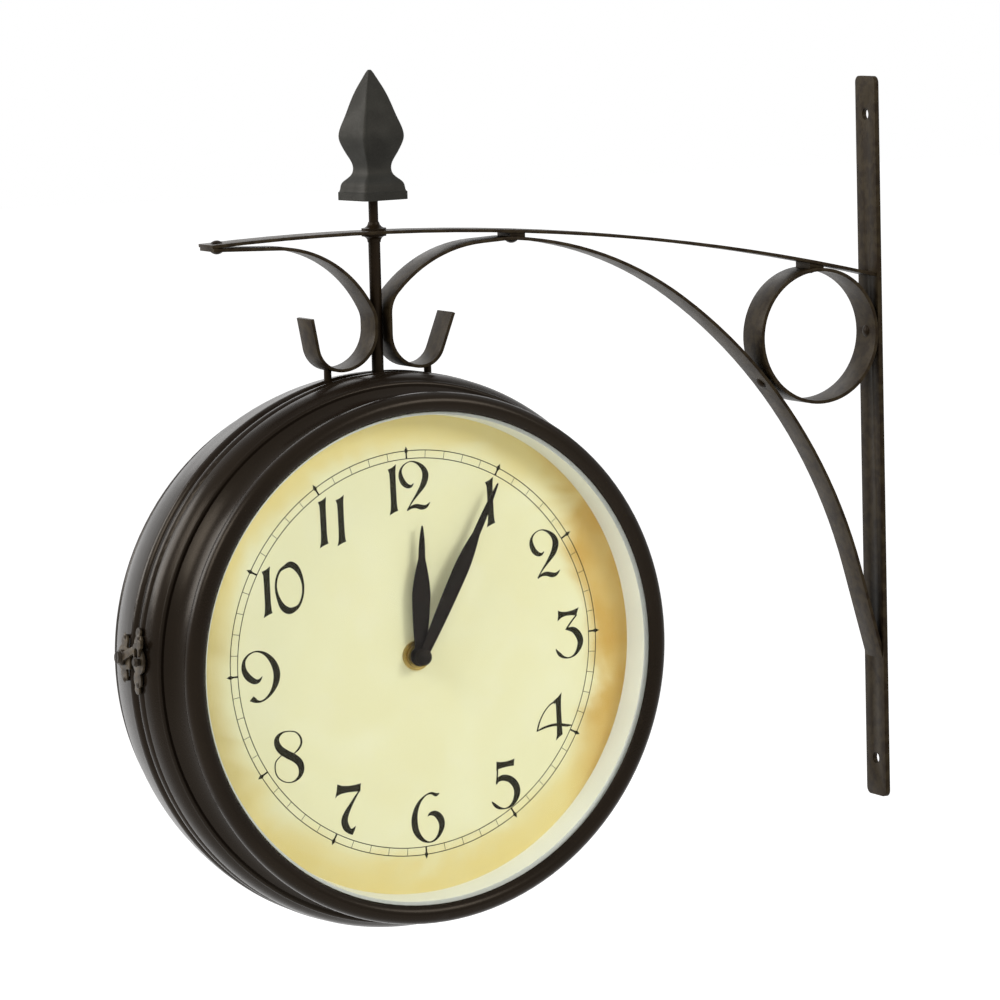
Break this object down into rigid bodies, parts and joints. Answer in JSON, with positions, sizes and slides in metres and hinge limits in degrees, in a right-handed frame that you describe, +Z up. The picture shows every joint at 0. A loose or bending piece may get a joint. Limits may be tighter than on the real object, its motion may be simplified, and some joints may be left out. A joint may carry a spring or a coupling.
{
  "type": "double sided station clock",
  "caption": "Round wall clock with a dial on each side, hung under a scrolled flat-iron bracket; the front half of its case opens on a hinge.",
  "frame": {"origin": "on the wall face, midway between the two wall screws", "axes": "+Z up, X = 0 is the wall and the clock stands out towards -X, the front dial faces -Y and the rear dial faces +Y"},
  "size_m": [0.3648, 0.0825, 0.3594],
  "materials": {
    "bracket_paint": "satin dark brown paint, a little worn",
    "cast_spear": "matte charcoal paint over a rough casting",
    "latch_metal": "antique bronze paint, rubbed on its edges",
    "case_paint": "satin dark brown enamel",
    "glass": "clear flat glass",
    "spacer": "pale cream",
    "dial": "printed, aged cream",
    "zinc": "zinc plated",
    "hand_black": "satin black",
    "brass": "dull brass",
    "rubber": "matte",
    "movement_plastic": "moulded, matte",
    "gear_plastic": "moulded, natural white",
    "battery": "plain printed can"
  },
  "bodies": {
    "rear_case": {"wall_bar": "bracket_paint", "top_strap": "bracket_paint", "left_scroll": "bracket_paint", "scroll_arch": "bracket_paint", "corner_ring": "bracket_paint", "strap_rivets": "bracket_paint", "strap_spacers": "bracket_paint", "post": "bracket_paint", "post_collars": "bracket_paint", "stub_pins": "bracket_paint", "finial": "cast_spear", "mounting_nuts": "zinc", "latch_plate": "latch_metal", "latch_pivot": "latch_metal", "hinge_leaf_rear": "latch_metal", "hinge_pin": "latch_metal", "rear_case_rivets": "latch_metal", "rear_case_shell": "case_paint", "rear_bezel": "case_paint", "rear_glass": "glass", "rear_spacer_ring": "spacer", "rear_dial_plate": "dial", "rear_snap_ring": "zinc", "rear_shaft_nut": "brass", "rear_movement_gasket": "rubber", "rear_movement_case": "movement_plastic", "rear_movement_cover": "movement_plastic", "rear_battery": "battery", "rear_battery_contacts": "zinc"},
    "front_case": {"hinge_leaf_front": "latch_metal", "front_case_rivets": "latch_metal", "latch_keeper_plate": "latch_metal", "latch_keeper_peg": "latch_metal", "front_case_shell": "case_paint", "front_bezel": "case_paint", "front_glass": "glass", "front_spacer_ring": "spacer", "front_dial_plate": "dial", "front_snap_ring": "zinc", "front_shaft_nut": "brass", "front_movement_gasket": "rubber", "front_movement_case": "movement_plastic", "front_movement_cover": "movement_plastic", "front_battery": "battery", "front_battery_contacts": "zinc"},
    "latch_hook": {"latch_hook": "latch_metal"},
    "front_minute_hand": {"front_minute_wheel": "gear_plastic", "front_minute_hand": "hand_black", "front_hand_nut": "hand_black"},
    "front_motion_wheel": {"front_motion_wheel": "gear_plastic", "front_setting_knob": "gear_plastic"},
    "front_hour_hand": {"front_hour_wheel": "gear_plastic", "front_hour_hand": "hand_black"},
    "rear_minute_hand": {"rear_minute_wheel": "gear_plastic", "rear_minute_hand": "hand_black", "rear_hand_nut": "hand_black"},
    "rear_motion_wheel": {"rear_motion_wheel": "gear_plastic", "rear_setting_knob": "gear_plastic"},
    "rear_hour_hand": {"rear_hour_wheel": "gear_plastic", "rear_hour_hand": "hand_black"}
  },
  "joints": [
    {"name": "case_hinge", "type": "hinge", "parent": "rear_case", "child": "front_case", "pos_m": [-0.1228, -0.004, -0.071], "axis": [0, 0, 1], "range_deg": [0, 105]},
    {"name": "latch_swing", "type": "hinge", "parent": "rear_case", "child": "latch_hook", "pos_m": [-0.36284, 0.004, -0.06474], "axis": [-0.9986, 0, 0.0523], "range_deg": [-14, 42]},
    {"name": "front_minute_turn", "type": "hinge", "parent": "front_case", "child": "front_minute_hand", "pos_m": [-0.2434, -0.004, -0.071], "axis": [0, 1, 0], "continuous": true},
    {"name": "front_motion_turn", "type": "hinge", "parent": "front_case", "child": "front_motion_wheel", "pos_m": [-0.2434, -0.004, -0.0635], "axis": [0, 1, 0], "continuous": true},
    {"name": "front_hour_turn", "type": "hinge", "parent": "front_case", "child": "front_hour_hand", "pos_m": [-0.2434, -0.004, -0.071], "axis": [0, 1, 0], "continuous": true},
    {"name": "rear_minute_turn", "type": "hinge", "parent": "rear_case", "child": "rear_minute_hand", "pos_m": [-0.2434, -0.004, -0.071], "axis": [0, -1, 0], "continuous": true},
    {"name": "rear_motion_turn", "type": "hinge", "parent": "rear_case", "child": "rear_motion_wheel", "pos_m": [-0.2434, -0.004, -0.0635], "axis": [0, -1, 0], "continuous": true},
    {"name": "rear_hour_turn", "type": "hinge", "parent": "rear_case", "child": "rear_hour_hand", "pos_m": [-0.2434, -0.004, -0.071], "axis": [0, -1, 0], "continuous": true}
  ],
  "couplings": [
    {"joint": "front_motion_turn", "follows": "front_minute_turn", "ratio": -0.33333},
    {"joint": "front_hour_turn", "follows": "front_minute_turn", "ratio": 0.083333},
    {"joint": "rear_motion_turn", "follows": "rear_minute_turn", "ratio": -0.33333},
    {"joint": "rear_hour_turn", "follows": "rear_minute_turn", "ratio": 0.083333}
  ]
}
